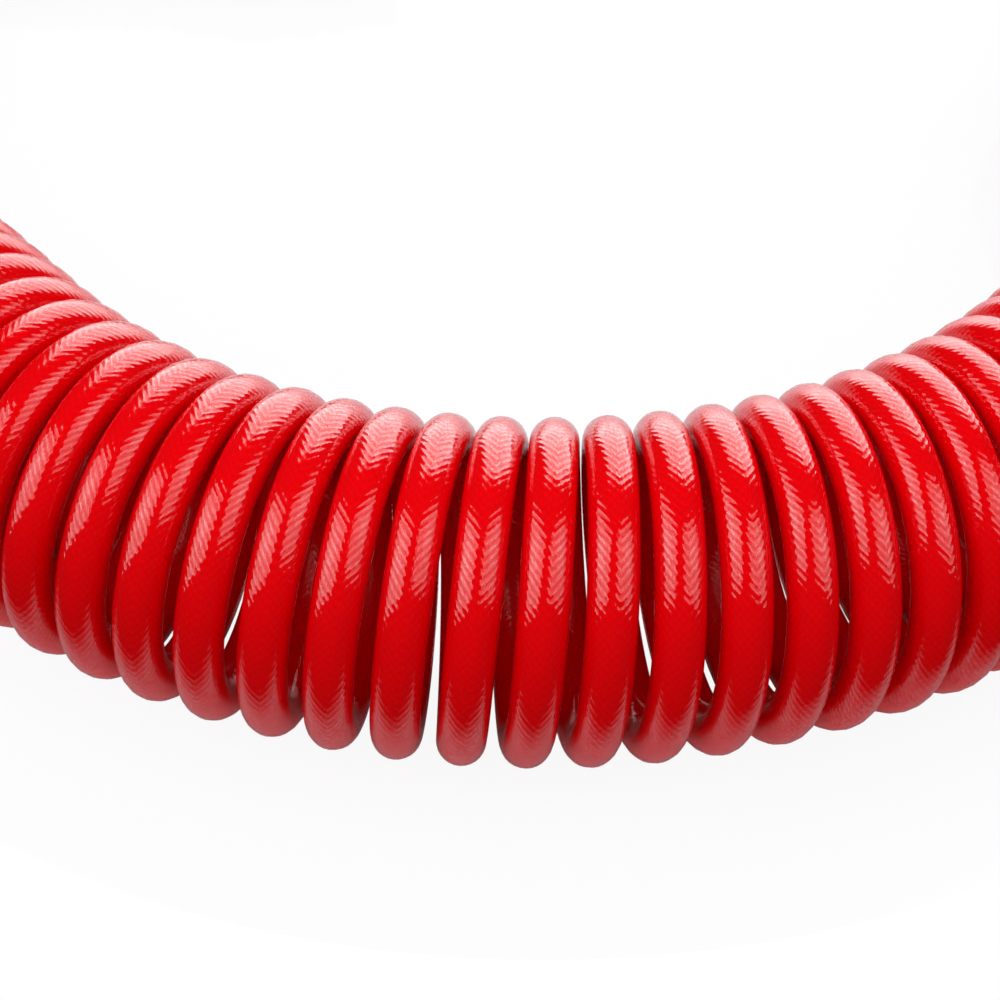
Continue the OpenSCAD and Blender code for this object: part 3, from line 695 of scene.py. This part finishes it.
class StudioLook(bpy.types.PropertyGroup):
    floor: FloatVectorProperty(
        name="Floor", description="Colour of the floor", subtype="COLOR", size=3, default=(0.86, 0.87, 0.92)
    )
    floor_shade: FloatProperty(
        name="Floor shade", description="Share of the light and shadow that the floor keeps", default=0.08
    )
    ambient: FloatProperty(name="Ambient", description="Even light from all round", default=0.47)
    softbox: FloatProperty(name="Cards", description="Radiance of the cards that only reflections show", default=1.9)
    key: FloatProperty(name="Key light", description="Radiance of the lamps that light the object", default=1.6)


# --- operators ---
class AIRHOSE_OT_camera(bpy.types.Operator):
    """Sets up the camera above and in front of the bend"""

    bl_idname = "airhose.camera"
    bl_label = "Camera"

    def execute(self, context):
        aim = camera_aim()
        data = bpy.data.cameras.new("camera")
        data.sensor_width, data.lens = 36.0, CAMERA_LENS
        camera = bpy.data.objects.new("camera", data)
        context.scene.collection.objects.link(camera)
        tilt = math.radians(CAMERA_HEIGHT)
        camera.location = aim + CAMERA_AWAY * MM * Vector((0, -math.cos(tilt), math.sin(tilt)))
        level = (aim - camera.location).to_track_quat("-Z", "Y").to_matrix()
        camera.rotation_euler = (level @ Matrix.Rotation(CAMERA_ROLL, 3, "Z")).to_euler()
        context.scene.camera = camera
        return {"FINISHED"}


class AIRHOSE_OT_hose(bpy.types.Operator):
    """Lays the braided hose along its whole route"""

    bl_idname = "airhose.hose"
    bl_label = "Hose"

    def execute(self, context):
        look = context.scene.hose_look
        points, outs, _ = hose_route(RINGS_PER_WALK_STEP, TAIL_STEP)
        length = float(np.linalg.norm(np.diff(points, axis=0), axis=1).sum()) * MM
        if abs(length - HOSE_LENGTH) > LENGTH_MAY_MISS:
            raise RuntimeError(f"the hose's route is {length:.3f} m long")
        skin = tube_mesh("hose", points, outs, HOSE_R, HOSE_SIDES, (BARB_BORE_R, BARB_LEN + 1))
        hose = link(skin, "hose", braided_jacket(look))
        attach(hose, "hose")
        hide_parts(*COIL_NODES)
        return {"FINISHED"}


class AIRHOSE_OT_springs(bpy.types.Operator):
    """Winds the kink guards and the coupler's two inner springs"""

    bl_idname = "airhose.springs"
    bl_label = "Springs"

    def execute(self, context):
        look = context.scene.fitting_look
        wire = drawn_wire("spring_wire", look.wire)
        inlet_end, outlet_end = hose_ends()
        at_inlet, at_outlet = laid_at(inlet_end, 0), laid_at(outlet_end, -90)
        for node, shape, place, body, sides in (
            ("inlet_kink_guard", KINK_GUARD, at_inlet, "hose", GUARD_SIDES),
            ("outlet_kink_guard", KINK_GUARD, at_outlet, "hose", GUARD_SIDES),
            ("sleeve_spring", SLEEVE_SPRING, at_outlet, "coupler", INNER_SPRING_SIDES),
            ("valve_spring", VALVE_SPRING, at_outlet, "coupler", INNER_SPRING_SIDES),
        ):
            mesh = spring_mesh(node + "_wound", shape, SPRING_RINGS, sides)
            mesh.transform(place)
            spring = link(mesh, node + "_wound", wire)
            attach(spring, body)
            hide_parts(node)
        dress(RING_NODES, wire)
        return {"FINISHED"}


class AIRHOSE_OT_fittings(bpy.types.Operator):
    """Finishes the stems, nuts, plug, coupler, seals and balls"""

    bl_idname = "airhose.fittings"
    bl_label = "Fittings"

    def execute(self, context):
        look = context.scene.fitting_look
        for axis, side in (("X", "inlet"), ("Y", "outlet")):
            here = [n for n in BRASS_NODES if n.startswith("inlet") == (side == "inlet")]
            dress(here, turned_metal("turned_brass_" + side, look.brass, 0.27, axis))
            here = [n for n in PLATED_NODES if (n == "plug_nipple") == (side == "inlet")]
            dress(here, turned_metal("plated_steel_" + side, look.plating, 0.22, axis))
        dress(SEAL_NODES, seal_rubber(look.rubber))
        dress(BALL_NODES, polished_ball(look.ball))
        return {"FINISHED"}


class AIRHOSE_OT_studio(bpy.types.Operator):
    """Puts up the floor, the backdrop and the softboxes"""

    bl_idname = "airhose.studio"
    bl_label = "Studio"

    def execute(self, context):
        look = context.scene.studio_look
        self.lay_floor(look)
        self.paint_world(context, look)
        for card in REFLECTED_CARDS:
            self.hang_softbox(context, *card, look.softbox).visible_diffuse = False
        for box in LIGHT_BOXES:
            self.hang_softbox(context, *box, look.key).visible_glossy = False
        context.scene.view_settings.view_transform = "Standard"
        return {"FINISHED"}

    def lay_floor(self, look):
        """A pale floor that keeps a little of the object's shadow; in reflections its colour is painted darker, and
        painted black at its front edge ahead of the bend.
        """
        front = [(x * MM, y * MM) for x, y in floor_front(FLOOR_AHEAD)]
        inner = [(x * MM, y * MM) for x, y in floor_front(FLOOR_AHEAD - FLOOR_FADE)]
        left, right = (-FLOOR_SIDE, inner[0][1]), (FLOOR_SIDE, inner[-1][1])
        corners = [*front, left, *inner, right, (FLOOR_SIDE, FLOOR_BACK), (-FLOOR_SIDE, FLOOR_BACK)]
        count = len(front)
        faces = [(i, i + 1, count + 2 + i, count + 1 + i) for i in range(count - 1)]
        mesh = bpy.data.meshes.new("floor")
        mesh.from_pydata([(x, y, 0.0) for x, y in corners], [], [*faces, range(count, len(corners))])
        depth = mesh.uv_layers.new(name=FADE_MAP)
        for corner in mesh.loops:
            depth.uv[corner.index].vector = (0.0, float(corner.vertex_index >= count))
        made = new_material("floor")
        fade = made.add("UVMap", {"uv_map": FADE_MAP}).outputs[0]
        inside = made.value(made.add("SeparateXYZ", None, {0: fade}), 1)
        rays = made.add("LightPath")
        mirrored = made.value(rays, "Is Glossy Ray").larger(made.value(rays, "Is Transmission Ray"))
        # Painted shade: for reflections only, the floor's colour is painted darker inside and painted black at its
        # front edge
        colour = made.mix_colour(mirrored * (1.0 - inside * FLOOR_REFLECTION_PAINTED_DARK), rgba(look.floor), (0, 0, 0, 1))
        sheet = made.add("BsdfPrincipled", None, {"Base Color": colour, "Roughness": 0.12})
        white = made.add("Emission", None, {"Color": (1, 1, 1, 1), "Strength": 1.0})
        seen = made.value(rays, "Is Camera Ray") * (1.0 - look.floor_shade)
        white_share = seen + mirrored * inside * FLOOR_MIRRORED
        mixed = made.add("MixShader", None, {0: white_share})
        made.tree.links.new(sheet.outputs[0], mixed.inputs[1])
        made.tree.links.new(white.outputs[0], mixed.inputs[2])
        made.surface(mixed.outputs[0])
        link(mesh, "floor", made.owner)

    def paint_world(self, context, look):
        """White all round for the camera, and for reflections behind the object, where the backdrop hangs."""
        world = bpy.data.worlds.new("studio")
        context.scene.world = world
        made = Finish(world)
        rays = made.add("LightPath")
        way = made.add("SeparateXYZ", None, {0: made.add("TexCoord").outputs["Generated"]})
        aside, back = made.value(way, 0), made.value(way, 1)
        spread = (aside + back * BACKDROP_LEFT).smaller(back * BACKDROP_RIGHT - aside).smaller(back - BACKDROP_TOP)
        edge = {0: spread, 1: -BACKDROP_SOFT, 2: BACKDROP_SOFT}
        behind = made.value(made.add("MapRange", {"interpolation_type": "SMOOTHSTEP"}, edge))
        above = made.value(made.add("MapRange", None, {0: way.outputs[2], 1: AMBIENT_FROM, 2: AMBIENT_FULL}))
        mirrored = made.value(rays, "Is Glossy Ray").larger(made.value(rays, "Is Transmission Ray"))
        white = made.value(rays, "Is Camera Ray").larger(mirrored * behind)
        dim = (1.0 - mirrored) * above * look.ambient + mirrored * MIRRORED_LEVEL
        level = white.larger(dim)
        made.surface(made.add("Background", None, {"Color": (1, 1, 1, 1), "Strength": level}).outputs[0])

    def hang_softbox(self, context, name, offset, way, roll, width, height, level, radiance):
        """A rectangular lamp, off the camera's aim, whose power gives it this radiance."""
        data = bpy.data.lights.new(name, "AREA")
        data.shape, data.size, data.size_y = "RECTANGLE", width, height
        data.energy = level * radiance * math.pi * width * height
        lamp = bpy.data.objects.new(name, data)
        context.scene.collection.objects.link(lamp)
        lamp.location = camera_aim() + Vector(offset)
        upright = Vector(way).to_track_quat("Z", "Y").to_matrix()
        lamp.rotation_euler = (upright @ Matrix.Rotation(math.radians(roll), 3, "Z")).to_euler()
        lamp.visible_camera = False
        return lamp


class AIRHOSE_PT_panel(bpy.types.Panel):
    """The steps that build the scene, and what they take"""

    bl_idname = "AIRHOSE_PT_panel"
    bl_label = "Air Hose"
    bl_space_type = "VIEW_3D"
    bl_region_type = "UI"
    bl_category = "Air Hose"

    def draw(self, context):
        for step in STEPS:
            self.layout.operator(step.bl_idname)
        for group in (context.scene.hose_look, context.scene.fitting_look, context.scene.studio_look):
            box = self.layout.box()
            for name in group.__annotations__:
                box.prop(group, name)


LOOKS = {"hose_look": HoseLook, "fitting_look": FittingLook, "studio_look": StudioLook}
STEPS = [AIRHOSE_OT_camera, AIRHOSE_OT_springs, AIRHOSE_OT_hose, AIRHOSE_OT_fittings, AIRHOSE_OT_studio]


def register():
    for item in (*LOOKS.values(), *STEPS, AIRHOSE_PT_panel):
        bpy.utils.register_class(item)
    for name, group in LOOKS.items():
        setattr(bpy.types.Scene, name, PointerProperty(type=group))


def unregister():
    for name in LOOKS:
        delattr(bpy.types.Scene, name)
    for item in (AIRHOSE_PT_panel, *reversed(STEPS), *reversed(LOOKS.values())):
        bpy.utils.unregister_class(item)


def main():
    register()
    bpy.ops.airhose.camera()
    bpy.ops.airhose.springs()
    bpy.ops.airhose.hose()
    bpy.ops.airhose.fittings()
    bpy.ops.airhose.studio()


if __name__ == "__main__":
    main()
